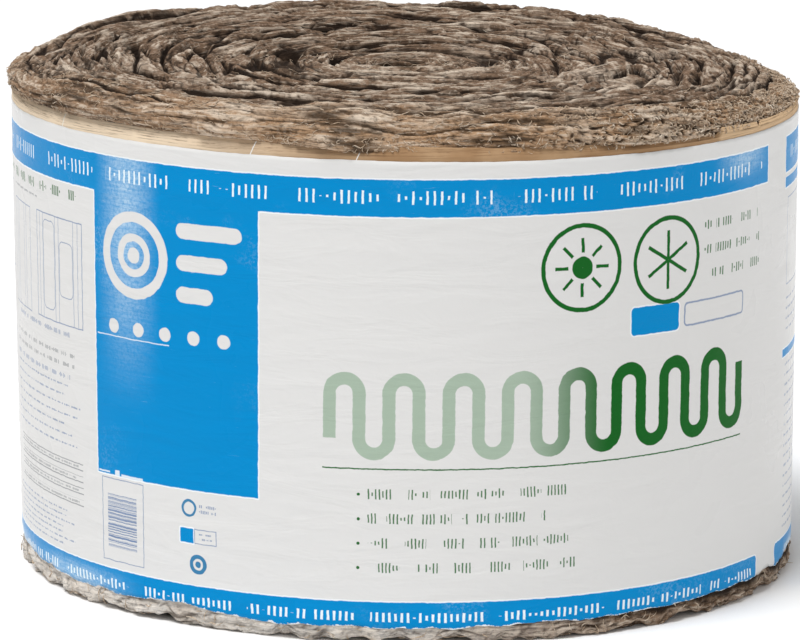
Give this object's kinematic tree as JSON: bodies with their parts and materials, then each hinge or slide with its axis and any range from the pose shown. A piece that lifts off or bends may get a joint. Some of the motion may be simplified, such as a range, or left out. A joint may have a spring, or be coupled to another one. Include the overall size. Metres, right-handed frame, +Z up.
{
  "type": "insulation roll",
  "caption": "Roll of kraft-faced glass wool insulation, wound tight with its turns showing on both ends and held by a printed film wrap.",
  "frame": {"origin": "on the floor at the middle of the roll's lower end", "axes": "+Z up along the axis of the winding, -Y towards the front of the printed wrap"},
  "size_m": [0.61, 0.61, 0.3971],
  "materials": {
    "wool": "brown glass wool, matt and fibrous, with darker creases between the turns",
    "kraft": "plain kraft paper, matt",
    "film": "glossy off-white film printed in blue and green, slightly wrinkled"
  },
  "bodies": {
    "root": {"wool_winding": "wool", "kraft_facing": "kraft", "printed_wrap": "film"}
  },
  "joints": []
}
